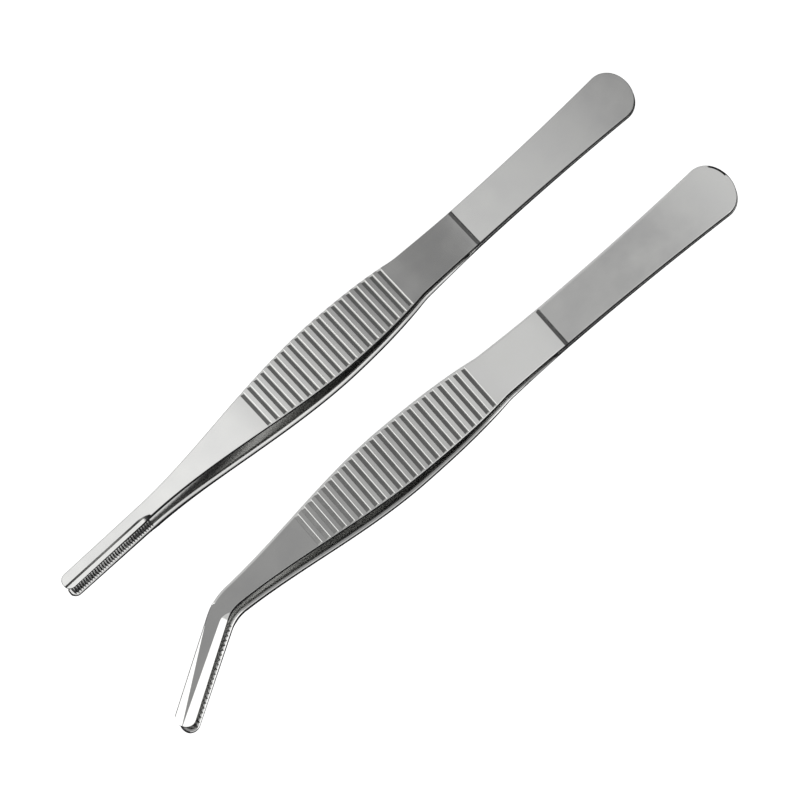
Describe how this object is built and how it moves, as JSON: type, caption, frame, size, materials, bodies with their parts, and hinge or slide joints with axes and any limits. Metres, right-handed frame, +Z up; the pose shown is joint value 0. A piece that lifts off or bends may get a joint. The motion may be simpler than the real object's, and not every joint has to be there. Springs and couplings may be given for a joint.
{
  "type": "print tongs",
  "caption": "Set of print tongs in polished spring steel, one pair with straight jaws and one with jaws bent sideways, with ribbed finger grips and toothed jaws.",
  "frame": {"origin": "middle of the set's bounding box, on the surface that both pairs lie on", "axes": "+X from the heels towards the jaws, along the straight pair; +Y from the straight pair towards the bent pair; +Z up, through the stacked blades"},
  "size_m": [0.2054, 0.059, 0.0166],
  "materials": {
    "stainless_steel": "stainless spring steel, fine satin polish, bright on the ground bevels of the jaws",
    "weld_steel": "resistance spot weld in bare stainless steel"
  },
  "bodies": {
    "straight_heel": {"straight_upper_heel": "stainless_steel", "straight_lower_heel": "stainless_steel", "straight_rear_weld": "weld_steel", "straight_middle_weld": "weld_steel", "straight_front_weld": "weld_steel"},
    "straight_upper_arm": {"straight_upper_arm": "stainless_steel"},
    "straight_lower_arm": {"straight_lower_arm": "stainless_steel"},
    "bent_heel": {"bent_upper_heel": "stainless_steel", "bent_lower_heel": "stainless_steel", "bent_rear_weld": "weld_steel", "bent_middle_weld": "weld_steel", "bent_front_weld": "weld_steel"},
    "bent_upper_arm": {"bent_upper_arm": "stainless_steel"},
    "bent_lower_arm": {"bent_lower_arm": "stainless_steel"}
  },
  "joints": [
    {"name": "straight_upper_arm_flex", "type": "hinge", "parent": "straight_heel", "child": "straight_upper_arm", "pos_m": [-0.02903, -0.02149, 0.00727], "axis": [0, 1, 0], "range_deg": [0, 1.72], "stiffness_Nm_per_rad": 5},
    {"name": "straight_lower_arm_flex", "type": "hinge", "parent": "straight_heel", "child": "straight_lower_arm", "pos_m": [-0.0288, -0.02149, 0.00212], "axis": [0, -1, 0], "range_deg": [0, 1.72], "stiffness_Nm_per_rad": 5},
    {"name": "bent_pair_lift", "type": "slide", "parent": "straight_heel", "child": "bent_heel", "axis": [0, 0, 1], "range_m": [0, 0.05]},
    {"name": "bent_upper_arm_flex", "type": "hinge", "parent": "bent_heel", "child": "bent_upper_arm", "pos_m": [-0.02784, 0.01421, 0.00698], "axis": [0.0314, 0.9995, 0], "range_deg": [0, 1.39], "stiffness_Nm_per_rad": 5},
    {"name": "bent_lower_arm_flex", "type": "hinge", "parent": "bent_heel", "child": "bent_lower_arm", "pos_m": [-0.02764, 0.0142, 0.002], "axis": [-0.0314, -0.9995, 0], "range_deg": [0, 1.39], "stiffness_Nm_per_rad": 5}
  ]
}
